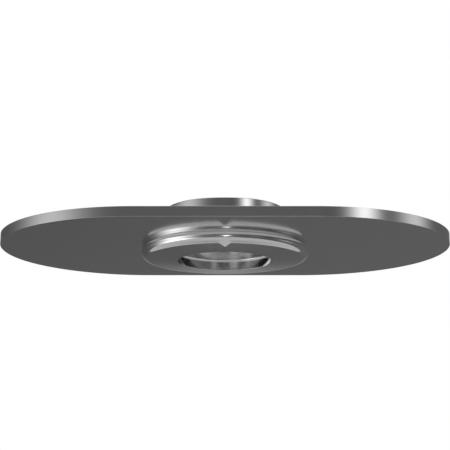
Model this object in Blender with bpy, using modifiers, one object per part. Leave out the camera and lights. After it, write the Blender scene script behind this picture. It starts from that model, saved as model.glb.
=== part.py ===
"""Obround blind flange: a flat steel plate with a headed socket body through it, closed by a cup plug.

Everything turned is about Z, the socket's axis. Z = 0 is the plane of the socket's mouth, the lowest point of
the part, and the body's neck points up. Sizes are in millimetres here and become metres where objects are made.
"""

import math

import bmesh
import bpy
from mathutils import Matrix

MM = 0.001

# --- Driving dimensions, in millimetres -------------------------------------------------------------------
PLATE_WIDTH = 89.0  # across the two straight sides
END_SPACING = 52.0  # between the centres of the two round ends
PLATE_THICKNESS = 3.0

HEAD_DEPTH = 4.0  # from the plate's underside down to the mouth
HEAD_OVERHANG = 7.4  # of the head's bulging rim beyond the neck, at its widest
FACE_ANGLE = 4.0  # slope of the head's face up from the mouth, in degrees
RIM_TUCK = 39.0  # how far the bulge turns in past its widest part to meet the plate, in degrees

MOUTH_RADIUS = 14.8  # the body's straight bore, open at both ends
NECK_WALL = 4.2  # round the bore, which makes the neck a 38 mm size outside
NECK_LENGTH = 9.2  # from the plate's back up to the neck's end
NECK_CHAMFER = 0.3

NOTCH_START = 5.4  # from the mouth's edge out to the tip of the index notch
NOTCH_ANGLE = 120.0  # between the notch's two walls, in degrees
NOTCH_SLOPE = 18.0  # of the notch's floor, which gets deeper towards the rim, in degrees

PLUG_DEPTH = 2.8  # from the mouth up to the cup plug's rim
PLUG_HEIGHT = 8.5
PLUG_WALL = 1.0
PLUG_CORNER = 2.2  # outside radius between the cup's wall and its floor

BEVEL_DEPTH = 1.8  # of the 45 degree bevel round the plate's hole, which the back weld fills
WELD_CAP = 1.2  # height of the weld against the neck, above the plate's back

PIECE_GAP = 0.3  # kept between pieces that are joined or that rest on each other

TURN_STEPS = 72  # facets round a turned piece
ARC_STEPS = 6  # facets on a quarter turn of a small rounding
END_STEPS = 36  # facets on each round end of the plate

# --- Sizes that follow from them ---------------------------------------------------------------------------
END_RADIUS = PLATE_WIDTH / 2
UNDERSIDE = HEAD_DEPTH
BACK = UNDERSIDE + PLATE_THICKNESS
NECK_RADIUS = MOUTH_RADIUS + NECK_WALL
NECK_TOP = BACK + NECK_LENGTH
HOLE_RADIUS = NECK_RADIUS + PIECE_GAP
HEAD_SEAT = UNDERSIDE - PIECE_GAP
HEAD_RADIUS = NECK_RADIUS + HEAD_OVERHANG
NOTCH_TIP_RADIUS = MOUTH_RADIUS + NOTCH_START
FACE_SLOPE = math.radians(FACE_ANGLE)

# The bulge runs off the sloping face and fills the head's depth, so its radius is solved from both.
RIM_ROUNDING = ((HEAD_SEAT - (HEAD_RADIUS - MOUTH_RADIUS) * math.tan(FACE_SLOPE))
                / (math.cos(FACE_SLOPE) + math.sin(math.radians(RIM_TUCK))
                   - (1 - math.sin(FACE_SLOPE)) * math.tan(FACE_SLOPE)))


def face_height(radius):
    """Height of the head's conical face above the mouth's plane."""
    return (radius - MOUTH_RADIUS) * math.tan(FACE_SLOPE)


# --- Making objects ----------------------------------------------------------------------------------------
def clear_scene():
    for old in list(bpy.data.objects):
        bpy.data.objects.remove(old)


def new_collection(name):
    made = bpy.data.collections.new(name)
    bpy.context.scene.collection.children.link(made)
    return made


def finish(name, colour, roughness, metallic=1.0):
    """A plain Principled material in the piece's colour."""
    made = bpy.data.materials.new(name)
    made.use_nodes = True
    shader = made.node_tree.nodes["Principled BSDF"]
    shader.inputs["Base Color"].default_value = (*colour, 1.0)
    shader.inputs["Roughness"].default_value = roughness
    shader.inputs["Metallic"].default_value = metallic
    return made


def put(name, data, collection, material=None):
    """An object for this mesh or curve, in this collection."""
    made = bpy.data.objects.new(name, data)
    collection.objects.link(made)
    if material:
        data.materials.append(material)
    return made


def adopt(name, collection):
    """Names the primitive that was just added and moves it to the collection."""
    made = bpy.context.object
    made.name = made.data.name = name
    bpy.context.collection.objects.unlink(made)
    collection.objects.link(made)
    return made


def arc(centre, radius, start, end, steps):
    """(radius, height) points on a circle, from one angle to another in degrees; 0 is outwards and 90 is up."""
    points = []
    for step in range(steps + 1):
        turn = math.radians(start + (end - start) * step / steps)
        points.append((centre[0] + radius * math.cos(turn), centre[1] + radius * math.sin(turn)))
    return points


def turned(name, profile, collection, material, closed=True):
    """A (radius, height) profile spun about Z, run out along the top, down the outside and back. An open one
    starts and ends on the axis."""
    mesh = bpy.data.meshes.new(name)
    edges = [(i, i + 1) for i in range(len(profile) - 1)]
    if closed:
        edges.append((len(profile) - 1, 0))
    mesh.from_pydata([(radius * MM, 0.0, height * MM) for radius, height in profile], edges, [])
    made = put(name, mesh, collection, material)
    screw = made.modifiers.new("Turn", "SCREW")
    screw.axis = "Z"
    screw.steps = screw.render_steps = TURN_STEPS
    screw.use_merge_vertices = True
    screw.merge_threshold = 0.00001
    screw.use_smooth_shade = False
    return made


def cut(target, name, cutter):
    """Takes the hidden cutter's shape out of the target."""
    cutter.hide_render = True
    cutter.display_type = "WIRE"
    made = target.modifiers.new(name, "BOOLEAN")
    made.operation = "DIFFERENCE"
    made.solver = "EXACT"
    made.object = cutter


def flat_solid(name, outlines, half_height, collection, material=None):
    """Flat (x, y) outlines, the first round the others, extruded both ways along Z and made a closed mesh."""
    curve = bpy.data.curves.new(name, "CURVE")
    curve.dimensions = "2D"
    curve.fill_mode = "BOTH"
    curve.extrude = half_height * MM
    for outline in outlines:
        spline = curve.splines.new("POLY")
        spline.points.add(len(outline) - 1)
        for point, (x, y) in zip(spline.points, outline):
            point.co = (x * MM, y * MM, 0.0, 1.0)
        spline.use_cyclic_u = True
    flat = put(name + "_outline", curve, collection)
    bpy.context.view_layer.update()
    evaluated = flat.evaluated_get(bpy.context.evaluated_depsgraph_get())
    mesh = bpy.data.meshes.new_from_object(evaluated)
    bpy.data.objects.remove(flat)
    body = bmesh.new()
    body.from_mesh(mesh)
    bmesh.ops.remove_doubles(body, verts=body.verts, dist=0.00001)
    body.to_mesh(mesh)
    body.free()
    return put(name, mesh, collection, material)


# --- The pieces --------------------------------------------------------------------------------------------
def flange_plate(pieces, cutters, steel):
    """Flat plate with two half-circle ends and straight sides along X, and a bevelled hole for the neck."""
    outline = []
    for side in (1, -1):
        for step in range(END_STEPS + 1):
            turn = math.pi * (step / END_STEPS - 0.5)
            outline.append((side * (END_SPACING / 2 + END_RADIUS * math.cos(turn)),
                            side * END_RADIUS * math.sin(turn)))
    hole = []
    for step in range(TURN_STEPS):
        turn = 2 * math.pi * step / TURN_STEPS
        hole.append((HOLE_RADIUS * math.cos(turn), HOLE_RADIUS * math.sin(turn)))
    plate = flat_solid("flange_plate", [outline, hole], PLATE_THICKNESS / 2, pieces, steel)
    plate.location.z = (UNDERSIDE + PLATE_THICKNESS / 2) * MM
    cut(plate, "Weld bevel", bevel_cutter(cutters))
    return plate


def bevel_cutter(cutters):
    """A 45 degree cone that opens the plate's hole towards the back. It runs past both ends of the bevel."""
    past = BEVEL_DEPTH / 4
    bpy.ops.mesh.primitive_cone_add(vertices=TURN_STEPS, radius1=(HOLE_RADIUS - past) * MM,
                                    radius2=(HOLE_RADIUS + BEVEL_DEPTH + past) * MM,
                                    depth=(BEVEL_DEPTH + 2 * past) * MM,
                                    location=(0, 0, (BACK - BEVEL_DEPTH / 2) * MM))
    return adopt("bevel_cutter", cutters)


def socket_body(pieces, cutters, steel):
    """Turned body: a bulging head that seats on the plate's underside, and a neck up through the plate."""
    rim = HEAD_RADIUS - RIM_ROUNDING
    face_end = rim + RIM_ROUNDING * math.sin(FACE_SLOPE)
    rim_height = face_height(face_end) + RIM_ROUNDING * math.cos(FACE_SLOPE)
    bulge = arc((rim, rim_height), RIM_ROUNDING, RIM_TUCK, FACE_ANGLE - 90, 2 * ARC_STEPS)

    c = NECK_CHAMFER
    body = turned("socket_body", [
        (MOUTH_RADIUS, NECK_TOP - c), (MOUTH_RADIUS + c, NECK_TOP),
        (NECK_RADIUS - c, NECK_TOP), (NECK_RADIUS, NECK_TOP - c),
        (NECK_RADIUS, HEAD_SEAT), *bulge, (MOUTH_RADIUS, 0.0),
    ], pieces, steel)

    cut(body, "Index notch", notch_cutter(cutters))
    return body


def notch_cutter(cutters):
    """A wide V prism whose ridge starts on the face at the notch's tip and rises into the rim, towards -Y."""
    run = HEAD_RADIUS * 1.2 - NOTCH_TIP_RADIUS
    rise = run * math.tan(math.radians(NOTCH_SLOPE))
    depth = HEAD_DEPTH * 1.5
    half_width = depth * math.tan(math.radians(NOTCH_ANGLE / 2))
    cutter = flat_solid("notch_cutter", [[(0, 0), (-half_width, -depth), (half_width, -depth)]],
                        math.hypot(run, rise) / 2, cutters)
    # The prism lies along -Y with its ridge upwards, tipped up by the slope of the notch's floor.
    lay = Matrix.Rotation(math.pi / 2, 4, "X")
    tip = Matrix.Rotation(-math.radians(NOTCH_SLOPE), 4, "X")
    middle = (0, -(NOTCH_TIP_RADIUS + run / 2) * MM, (face_height(NOTCH_TIP_RADIUS) + rise / 2) * MM)
    cutter.matrix_world = Matrix.Translation(middle) @ tip @ lay
    return cutter


def cup_plug(pieces, steel):
    """Drawn cup, pressed into the bore rim first from the neck's side, whose floor closes the flange."""
    outside = MOUTH_RADIUS - PIECE_GAP
    inside = outside - PLUG_WALL
    top = PLUG_DEPTH + PLUG_HEIGHT
    corner_out = arc((outside - PLUG_CORNER, top - PLUG_CORNER), PLUG_CORNER, 90, 0, ARC_STEPS)
    corner_in = arc((outside - PLUG_CORNER, top - PLUG_CORNER), PLUG_CORNER - PLUG_WALL, 0, 90, ARC_STEPS)
    lip = arc((outside - PLUG_WALL / 2, PLUG_DEPTH + PLUG_WALL / 2), PLUG_WALL / 2, 0, -180, ARC_STEPS)
    outline = [(0.0, top), *corner_out, *lip, *corner_in, (0.0, top - PLUG_WALL)]
    return turned("cup_plug", outline, pieces, steel, closed=False)


def back_weld(pieces, bead):
    """Weld that fills the plate's bevel and climbs the neck, which holds the body in the plate. It stays inside
    the bevel's outline, so the flat back is clear of it."""
    shift = PIECE_GAP * math.sqrt(2)
    floor = BACK - BEVEL_DEPTH + shift
    toe = HOLE_RADIUS + BEVEL_DEPTH - shift
    return turned("back_weld", [(HOLE_RADIUS, BACK + WELD_CAP),
                                (HOLE_RADIUS + 0.45 * (toe - HOLE_RADIUS), BACK + 0.75 * WELD_CAP),
                                (HOLE_RADIUS + 0.85 * (toe - HOLE_RADIUS), BACK + 0.3 * WELD_CAP),
                                (toe, BACK), (HOLE_RADIUS, floor)], pieces, bead)


def build():
    clear_scene()
    pieces, cutters = new_collection("blind_flange"), new_collection("cutters")
    cutters.hide_render = True
    steel = finish("plate_steel", (0.75, 0.75, 0.76), roughness=0.18)
    body_steel = finish("body_steel", (0.75, 0.75, 0.76), roughness=0.15)
    plug_steel = finish("plug_steel", (0.78, 0.78, 0.79), roughness=0.20)
    bead = finish("weld_bead", (0.51, 0.50, 0.49), roughness=0.35)
    flange_plate(pieces, cutters, steel)
    socket_body(pieces, cutters, body_steel)
    cup_plug(pieces, plug_steel)
    back_weld(pieces, bead)


build()
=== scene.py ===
"""The obround blind flange's looks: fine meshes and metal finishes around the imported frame."""

import math

import bmesh
import bpy
from mathutils import Matrix, Vector


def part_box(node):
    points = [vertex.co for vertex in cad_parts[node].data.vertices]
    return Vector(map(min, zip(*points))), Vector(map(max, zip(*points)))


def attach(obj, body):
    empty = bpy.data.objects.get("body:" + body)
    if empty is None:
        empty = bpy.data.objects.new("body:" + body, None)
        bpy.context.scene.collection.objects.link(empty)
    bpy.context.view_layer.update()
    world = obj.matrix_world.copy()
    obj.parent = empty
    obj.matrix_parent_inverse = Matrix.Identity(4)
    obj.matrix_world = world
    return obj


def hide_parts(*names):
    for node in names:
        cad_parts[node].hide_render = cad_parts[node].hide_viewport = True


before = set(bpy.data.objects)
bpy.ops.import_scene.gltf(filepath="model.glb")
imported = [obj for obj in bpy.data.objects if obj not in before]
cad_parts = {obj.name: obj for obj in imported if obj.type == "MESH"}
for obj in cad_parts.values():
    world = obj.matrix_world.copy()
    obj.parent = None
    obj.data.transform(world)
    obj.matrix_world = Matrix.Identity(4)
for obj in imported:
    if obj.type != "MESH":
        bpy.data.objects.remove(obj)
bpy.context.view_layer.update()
bpy.ops.object.select_all(action="DESELECT")

# --- Camera ------------------------------------------------------------------------------------------------
# It looks up at the underside from just under twelve degrees below, square on to the plate's long side.
plate_low, plate_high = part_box("flange_plate")
half_length = (plate_high.x - plate_low.x) / 2
CAMERA_ELEVATION = math.radians(11.96)
CAMERA_DISTANCE = 5.5208 * half_length
CAMERA_LENS = 98.4
CAMERA_SHIFT = 0.0535

target = Vector((0, 0, plate_low.z))
away = Vector((0, -math.cos(CAMERA_ELEVATION), -math.sin(CAMERA_ELEVATION)))
camera = bpy.data.objects.new("camera", bpy.data.cameras.new("camera"))
bpy.context.scene.collection.objects.link(camera)
camera.location = target + away * CAMERA_DISTANCE
camera.rotation_euler = (-away).to_track_quat("-Z", "Y").to_euler()
camera.data.lens = CAMERA_LENS
camera.data.sensor_width = 36
camera.data.shift_y = CAMERA_SHIFT
camera.data.clip_start = 0.01
bpy.context.scene.camera = camera


# --- Shader helpers ----------------------------------------------------------------------------------------
# Materials and the studio's light are written as arithmetic on shader sockets.
class Wire:
    """A shader socket that arithmetic can be written with."""

    tree = None

    def __init__(self, socket):
        self.socket = socket

    def math(self, operation, *others):
        node = Wire.tree.nodes.new("ShaderNodeMath")
        node.operation = operation
        for slot, value in zip(node.inputs, (self, *others)):
            plug(slot, value)
        return Wire(node.outputs[0])

    def __add__(self, other):
        return self.math("ADD", other)

    def __sub__(self, other):
        return self.math("SUBTRACT", other)

    def __rsub__(self, other):
        return Wire.of(other).math("SUBTRACT", self)

    def __mul__(self, other):
        return self.math("MULTIPLY", other)

    def __truediv__(self, other):
        return self.math("DIVIDE", other)

    __radd__ = __add__
    __rmul__ = __mul__

    @staticmethod
    def of(value):
        node = Wire.tree.nodes.new("ShaderNodeValue")
        node.outputs[0].default_value = value
        return Wire(node.outputs[0])


def plug(slot, value):
    """Links a wire to a socket, or sets the socket's own value."""
    if isinstance(value, Wire):
        Wire.tree.links.new(value.socket, slot)
    else:
        slot.default_value = value


def node(kind, output=0, settings=(), **inputs):
    """A node of this kind with its settings and sockets given, as a wire from one of its outputs."""
    made = Wire.tree.nodes.new(kind)
    for name, value in dict(settings).items():
        setattr(made, name, value)
    for name, value in inputs.items():
        plug(made.inputs[name.replace("_", " ")], value)
    return Wire(made.outputs[output])


def noise(place, scale, detail=3.0):
    """Soft cloud between about 0.3 and 0.7, at so many features a metre."""
    return node("ShaderNodeTexNoise", Vector=place, Scale=scale, Detail=detail)


def blend(factor, first, second):
    """Colour that goes from the first to the second as the factor goes from 0 to 1."""
    made = Wire.tree.nodes.new("ShaderNodeMix")
    made.data_type = "RGBA"
    plug(made.inputs[0], factor)
    plug(made.inputs[6], (*first, 1.0))
    plug(made.inputs[7], (*second, 1.0))
    return Wire(made.outputs[2])


def coat(piece, name, colours, roughness, relief, depth, metallic=1.0):
    """Gives a piece its only material. Colours are a dark and a light tone, mixed by a cloud; roughness and
    relief are functions of the object's coordinates, and depth is the relief's height in metres."""
    made = bpy.data.materials.new(name)
    made.use_nodes = True
    Wire.tree = made.node_tree
    shader = made.node_tree.nodes["Principled BSDF"]
    place = node("ShaderNodeTexCoord", 3)
    plug(shader.inputs["Base Color"], blend(noise(place, 90.0), *colours))
    plug(shader.inputs["Roughness"], roughness(place))
    plug(shader.inputs["Normal"], node("ShaderNodeBump", Height=relief(place), Strength=1.0, Distance=depth))
    shader.inputs["Metallic"].default_value = metallic
    piece.data.materials.clear()
    piece.data.materials.append(made)


def radius_and_height(place):
    """Distance from the Z axis and height, as two wires."""
    made = Wire.tree.nodes.new("ShaderNodeSeparateXYZ")
    plug(made.inputs[0], place)
    x, y, z = (Wire(output) for output in made.outputs)
    return (x * x + y * y).math("SQRT"), z


def rings(place, scale):
    """Uneven fine rings round the Z axis, as a lathe tool leaves them."""
    radius, height = radius_and_height(place)
    made = Wire.tree.nodes.new("ShaderNodeCombineXYZ")
    plug(made.inputs[0], radius)
    plug(made.inputs[2], height)
    return noise(Wire(made.outputs[0]), scale, 2.0)


# --- Mesh helpers ------------------------------------------------------------------------------------------
# Selecting, modifying, turning and finishing, as every piece needs them.
ROUND_STEPS = 256


def select_vertices(mesh_object, wanted):
    """In edit mode, selects only the vertices whose place passes the test."""
    bpy.ops.mesh.select_all(action="DESELECT")
    cage = bmesh.from_edit_mesh(mesh_object.data)
    for vertex in cage.verts:
        vertex.select_set(wanted(vertex.co))
    cage.select_flush_mode()
    bmesh.update_edit_mesh(mesh_object.data)


def apply_modifier(mesh_object, kind, **settings):
    """Adds a modifier with these settings and applies it."""
    bpy.context.view_layer.objects.active = mesh_object
    made = mesh_object.modifiers.new(kind.title(), kind)
    for name, value in settings.items():
        setattr(made, name, value)
    bpy.ops.object.modifier_apply(modifier=made.name)


def settle(mesh_object, name, smooth_angle, body="root"):
    """Smooths and names a finished piece, puts its place into its mesh and lets it ride on its body."""
    bpy.ops.object.select_all(action="DESELECT")
    mesh_object.select_set(True)
    bpy.context.view_layer.objects.active = mesh_object
    bpy.ops.object.shade_smooth_by_angle(angle=math.radians(smooth_angle))
    apply_modifier(mesh_object, "WEIGHTED_NORMAL", mode="FACE_AREA", weight=100, keep_sharp=True)
    bpy.ops.object.transform_apply(location=True, rotation=True, scale=True)
    mesh_object.name = mesh_object.data.name = name
    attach(mesh_object, body)
    bpy.ops.object.select_all(action="DESELECT")


def arc(centre, radius, start, end, steps):
    """(radius, height) points on a circle between two angles in degrees; 0 is outwards and 90 is up."""
    turns = [math.radians(start + (end - start) * step / steps) for step in range(steps + 1)]
    return [(centre[0] + radius * math.cos(turn), centre[1] + radius * math.sin(turn)) for turn in turns]


def lathe(profile, steps=ROUND_STEPS, closed=True):
    """Draws (radius, height) points one after another and spins them round Z."""
    bpy.ops.mesh.primitive_plane_add(size=0.001)
    bpy.ops.object.mode_set(mode="EDIT")
    bpy.ops.mesh.merge(type="CENTER")
    bpy.ops.transform.translate(value=(profile[0][0], 0, profile[0][1]))
    for here, there in zip(profile, profile[1:]):
        step = (there[0] - here[0], 0, there[1] - here[1])
        bpy.ops.mesh.extrude_vertices_move(TRANSFORM_OT_translate={"value": step})
    turned = bpy.context.object
    if closed:
        ends = [Vector((radius, 0, height)) for radius, height in (profile[0], profile[-1])]
        select_vertices(turned, lambda place: min((place - end).length for end in ends) < 1e-7)
        bpy.ops.mesh.edge_face_add()
    bpy.ops.mesh.select_all(action="SELECT")
    bpy.ops.mesh.spin(steps=steps, angle=2 * math.pi, center=(0, 0, 0), axis=(0, 0, 1))
    bpy.ops.mesh.select_all(action="SELECT")
    bpy.ops.mesh.remove_doubles(threshold=1e-6)
    bpy.ops.mesh.normals_make_consistent(inside=False)
    bpy.ops.object.mode_set(mode="OBJECT")
    return turned


# --- Flange plate ------------------------------------------------------------------------------------------
# A flat obround blank of 3 mm steel, sheared and then polished all over. Its edges are only just broken, and
# the hole for the socket body's neck is covered by the body's head below and by the weld above.
PLATE_EDGE_BREAK = 0.00005
HOLE_RADIUS = 0.0190
WELD_BEVEL = 0.0018
plate_thickness = plate_high.z - plate_low.z
end_radius = plate_high.y
end_offset = half_length - end_radius


bpy.ops.mesh.primitive_circle_add(vertices=ROUND_STEPS, radius=end_radius, fill_type="NGON",
                                  location=(0, 0, plate_low.z), rotation=(0, 0, math.pi / ROUND_STEPS))
plate = bpy.context.object
bpy.ops.object.transform_apply(location=True, rotation=True)
bpy.ops.object.mode_set(mode="EDIT")
for side in (1, -1):
    select_vertices(plate, lambda place: place.x * side > 0)
    bpy.ops.transform.translate(value=(side * end_offset, 0, 0))
bpy.ops.mesh.select_all(action="SELECT")
bpy.ops.mesh.extrude_region_move(TRANSFORM_OT_translate={"value": (0, 0, plate_thickness)})
bpy.ops.mesh.select_all(action="SELECT")
bpy.ops.mesh.normals_make_consistent(inside=False)
bpy.ops.object.mode_set(mode="OBJECT")

bpy.ops.mesh.primitive_cylinder_add(vertices=ROUND_STEPS, radius=HOLE_RADIUS, depth=plate_thickness * 3,
                                    location=(0, 0, plate_low.z))
hole_cutter = bpy.context.object
apply_modifier(plate, "BOOLEAN", operation="DIFFERENCE", solver="EXACT", object=hole_cutter)
bpy.data.objects.remove(hole_cutter)
# The bevel's cutter runs a quarter of the bevel past both ends.
bpy.ops.mesh.primitive_cone_add(vertices=ROUND_STEPS, radius1=HOLE_RADIUS - WELD_BEVEL / 4,
                                radius2=HOLE_RADIUS + 1.25 * WELD_BEVEL, depth=1.5 * WELD_BEVEL,
                                location=(0, 0, plate_high.z - WELD_BEVEL / 2))
bevel_cutter = bpy.context.object
apply_modifier(plate, "BOOLEAN", operation="DIFFERENCE", solver="EXACT", object=bevel_cutter)
bpy.data.objects.remove(bevel_cutter)
apply_modifier(plate, "BEVEL", width=PLATE_EDGE_BREAK, segments=3, limit_method="ANGLE",
               angle_limit=math.radians(60))
settle(plate, "plate_polished", 40)
coat(plate, "polished_plate", ((0.73, 0.73, 0.735), (0.77, 0.77, 0.775)),
     lambda place: 0.09 + 0.05 * noise(place, 150.0), lambda place: noise(place, 1500.0), 0.0000015)
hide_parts("flange_plate")


# --- Socket body -------------------------------------------------------------------------------------------
# Turned from bar in one piece: a head whose rim bulges out round the bore's mouth, seated hard on the plate's
# underside, and a straight neck that goes up through the plate. One V notch is cut into the rim, pointing at
# the bore, to index the flange.
FACE_ANGLE = 4
FACE_SLOPE = math.radians(FACE_ANGLE)
RIM_TUCK = math.radians(39)
BORE_RADIUS = 0.0148
NECK_RADIUS = HOLE_RADIUS
MOUTH_ROUNDING = 0.0001
MOUTH_CENTRE = 1.02  # radii that the rounding's centre stands above the mouth, so the lip stays in the box
NECK_EDGE = 0.00025
NOTCH_TIP_RADIUS = 0.0202
NOTCH_ANGLE = math.radians(120)
NOTCH_SLOPE = math.radians(18)
NOTCH_END = 1.2  # head radii from the axis to the end of the notch's cutter
NOTCH_REACH = 0.006  # across the three-sided cutter, which is one and a half of its radii
body_low, body_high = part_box("socket_body")
head_radius = body_high.x


# The rim's bulge runs off the sloping face and fills the head's depth, so its radius is solved from both.
rim_rounding = ((plate_low.z - body_low.z - (head_radius - BORE_RADIUS) * math.tan(FACE_SLOPE))
                / (math.cos(FACE_SLOPE) + math.sin(RIM_TUCK)
                   - (1 - math.sin(FACE_SLOPE)) * math.tan(FACE_SLOPE)))
rim_radius = head_radius - rim_rounding
rim_height = plate_low.z - rim_rounding * math.sin(RIM_TUCK)
mouth_centre = (BORE_RADIUS + MOUTH_ROUNDING, body_low.z + MOUTH_ROUNDING * MOUTH_CENTRE)
face_edge = rim_radius - MOUTH_ROUNDING
body_profile = [
    *arc(mouth_centre, MOUTH_ROUNDING, 180, 270 + FACE_ANGLE, 8),
    (BORE_RADIUS + 3 * MOUTH_ROUNDING, body_low.z + 3 * MOUTH_ROUNDING * math.tan(FACE_SLOPE)),
    (face_edge, body_low.z + (face_edge - BORE_RADIUS) * math.tan(FACE_SLOPE)),
    *arc((rim_radius, rim_height), rim_rounding, -90 + FACE_ANGLE, math.degrees(RIM_TUCK), 40),
    (NECK_RADIUS, plate_low.z),
    *arc((NECK_RADIUS - NECK_EDGE, body_high.z - NECK_EDGE), NECK_EDGE, 0, 90, 5),
    *arc((BORE_RADIUS + NECK_EDGE, body_high.z - NECK_EDGE), NECK_EDGE, 90, 180, 5),
]
body = lathe(body_profile)
notch_run = head_radius * NOTCH_END - NOTCH_TIP_RADIUS
bpy.ops.mesh.primitive_cylinder_add(vertices=3, radius=NOTCH_REACH / 1.5,
                                    depth=notch_run / math.cos(NOTCH_SLOPE))
notch_cutter = bpy.context.object
tip_height = body_low.z + (NOTCH_TIP_RADIUS - BORE_RADIUS) * math.tan(FACE_SLOPE)
middle = (0, -NOTCH_TIP_RADIUS - notch_run / 2, tip_height + notch_run / 2 * math.tan(NOTCH_SLOPE))
notch_cutter.matrix_world = (Matrix.Translation(middle) @ Matrix.Rotation(math.pi / 2 - NOTCH_SLOPE, 4, "X")
                             @ Matrix.Translation((0, -NOTCH_REACH / 1.5, 0))
                             @ Matrix.Diagonal((math.tan(NOTCH_ANGLE / 2) * math.sqrt(3), 1, 1, 1)))
bpy.context.view_layer.update()
apply_modifier(body, "BOOLEAN", operation="DIFFERENCE", solver="EXACT", object=notch_cutter)
bpy.data.objects.remove(notch_cutter)
settle(body, "body_turned", 30)
coat(body, "turned_steel", ((0.73, 0.73, 0.735), (0.77, 0.77, 0.775)),
     lambda place: 0.08 + 0.06 * rings(place, 2500.0), lambda place: rings(place, 6000.0), 0.0000012)
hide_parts("socket_body")


# --- Cup plug ----------------------------------------------------------------------------------------------
# A drawn steel cup, pressed rim first into the bore from the neck's side. Its rim shows inside the mouth and
# its floor closes the flange.
PLUG_WALL = 0.0010
PLUG_CORNER = 0.0022
cup_low, cup_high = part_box("cup_plug")
cup_outside = BORE_RADIUS
cup_corner = (cup_outside - PLUG_CORNER, cup_high.z - PLUG_CORNER)
cup_profile = [
    (0.0, cup_high.z),
    *arc(cup_corner, PLUG_CORNER, 90, 0, 16),
    *arc((cup_outside - PLUG_WALL / 2, cup_low.z + PLUG_WALL / 2), PLUG_WALL / 2, 0, -180, 16),
    *arc(cup_corner, PLUG_CORNER - PLUG_WALL, 0, 90, 12),
    (0.0, cup_high.z - PLUG_WALL),
]
cup = lathe(cup_profile, closed=False)
settle(cup, "plug_drawn", 30)
coat(cup, "drawn_steel", ((0.80, 0.80, 0.805), (0.86, 0.86, 0.865)),
     lambda place: 0.10 + 0.10 * noise(place, 400.0), lambda place: noise(place, 1200.0), 0.000003)
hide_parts("cup_plug")


# --- Back weld ---------------------------------------------------------------------------------------------
# One weld run that fills the bevel round the neck and climbs its wall. Its top is laid in overlapping ripples
# that lean with the torch's travel, and it is brushed but not polished.
WELD_RIPPLES = 90
STEPS_PER_RIPPLE = 6
RIPPLE_HEIGHT = 0.00010
RIPPLE_SWEEP = 250  # ripples that each one trails by for every metre out
CREST_MARGIN = 0.0002  # next to the neck, left flat
CREST_START = 0.2  # share of the cap's height below which there are no ripples
WELD_SINK = 0.00005  # into the neck's wall
WELD_ROOT = 0.9  # share of the bevel that the weld fills at the neck
WELD_CROWN = [(0.25, 0.86), (0.50, 0.62), (0.75, 0.34)]  # shares of the bevel's width and the cap's height
TOE_INSET = 0.0002
TOE_SINK = 0.0003
TOE_HEIGHT = 0.06  # share of the cap's height
weld_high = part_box("back_weld")[1]
cap = weld_high.z - plate_high.z - RIPPLE_HEIGHT
toe = HOLE_RADIUS + WELD_BEVEL
weld_profile = [
    (NECK_RADIUS - WELD_SINK, plate_high.z + cap),
    *[(HOLE_RADIUS + out * WELD_BEVEL, plate_high.z + up * cap) for out, up in WELD_CROWN],
    (toe - TOE_INSET, plate_high.z + TOE_HEIGHT * cap),
    (toe - TOE_INSET, plate_high.z - TOE_SINK),
    (NECK_RADIUS - WELD_SINK, plate_high.z - WELD_BEVEL * WELD_ROOT),
]
weld = lathe(weld_profile, steps=WELD_RIPPLES * STEPS_PER_RIPPLE)


def on_a_crest(place):
    """True for the cap's vertices on a ripple's raised third, each ripple swept back towards its outer end."""
    out = math.hypot(place.x, place.y)
    if place.z < plate_high.z + CREST_START * cap or out < NECK_RADIUS + CREST_MARGIN:
        return False
    turn = math.atan2(place.y, place.x) / math.tau + 0.5
    return (turn * WELD_RIPPLES + RIPPLE_SWEEP * (out - HOLE_RADIUS)) % 1 < 1 / 3


bpy.ops.object.mode_set(mode="EDIT")
select_vertices(weld, on_a_crest)
bpy.ops.transform.shrink_fatten(value=RIPPLE_HEIGHT)
bpy.ops.object.mode_set(mode="OBJECT")
settle(weld, "weld_rippled", 60)
coat(weld, "brushed_weld", ((0.42, 0.41, 0.40), (0.60, 0.59, 0.58)),
     lambda place: 0.28 + 0.20 * noise(place, 500.0), lambda place: noise(place, 2500.0), 0.00001)
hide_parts("back_weld")


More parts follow.
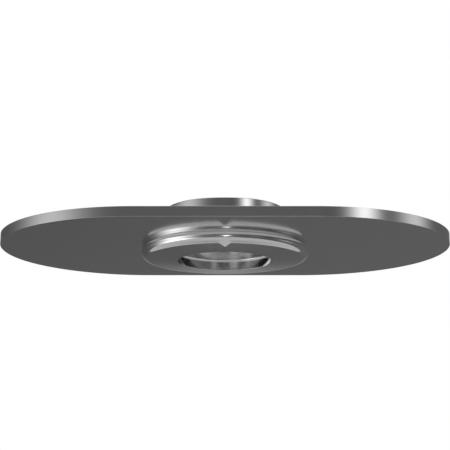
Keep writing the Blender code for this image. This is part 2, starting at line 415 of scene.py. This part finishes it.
# --- Studio ------------------------------------------------------------------------------------------------
# A small round pale table well below the part, a pale floor, and soft panels all round on a grey wall. Each
# panel is its angle from -Y towards +X, its height above the horizon and its half width, in degrees, and its
# brightness.
WALL = 0.088
PANELS = [
    (0, 80, 19, 2.5),
    (-75, 15, 21, 0.38),
    (-72, -26, 17, 2.2),
    (42, 15, 8, 1.2),
    (90, 12, 11, 0.6),
    (0, -16, 13, 0.15),
    (140, -12, 25, 0.055),
    (2, 0, 3, 4.0),
    (180, 16, 8, 2.5),
]
TABLE_HEIGHT = -0.13
TABLE_RADIUS = 0.29
FLOOR_RADIUS = 4.0
FLOOR_DROP = 0.001


def pale_round(name, radius, height):
    """A flat pale disc of the studio. It is clear from underneath, so the part shows from there."""
    bpy.ops.mesh.primitive_circle_add(vertices=128, radius=radius, fill_type="NGON", location=(0, 0, height))
    disc = bpy.context.object
    disc.name = name
    coat(disc, name + "_paint", ((0.78, 0.78, 0.78), (0.82, 0.82, 0.82)),
         lambda place: 0.6 + 0.1 * noise(place, 20.0), lambda place: noise(place, 300.0), 0.00005,
         metallic=0.0)
    shader = Wire.tree.nodes["Principled BSDF"]
    plug(shader.inputs["Alpha"], 1.0 - node("ShaderNodeNewGeometry", 6))
    return disc


pale_round("table", TABLE_RADIUS, TABLE_HEIGHT)
# The floor only fills the view from other sides, so it isn't in the steel's reflections and has no shadow.
floor = pale_round("floor", FLOOR_RADIUS, TABLE_HEIGHT - FLOOR_DROP)
floor.visible_glossy = False
floor.visible_shadow = False

world = bpy.data.worlds.new("studio")
bpy.context.scene.world = world
world.use_nodes = True
Wire.tree = world.node_tree
split = Wire.tree.nodes.new("ShaderNodeSeparateXYZ")
plug(split.inputs[0], node("ShaderNodeTexCoord", 0))
east, north, up = (Wire(output) for output in split.outputs)
glow = Wire.of(WALL)
for turn, height, width, brightness in PANELS:
    turn, height, width = (math.radians(angle) for angle in (turn, height, width))
    facing = (east * (math.cos(height) * math.sin(turn)) + north * (-math.cos(height) * math.cos(turn))
              + up * math.sin(height))
    glow = glow + brightness * ((facing - 1.0) / (width * width)).math("EXPONENT")
from_camera = node("ShaderNodeLightPath", 0)
background = Wire.tree.nodes["Background"]
background.inputs["Color"].default_value = (1, 1, 1, 1)
plug(background.inputs["Strength"], from_camera + (1.0 - from_camera) * glow)

bpy.context.scene.view_settings.view_transform = "Standard"
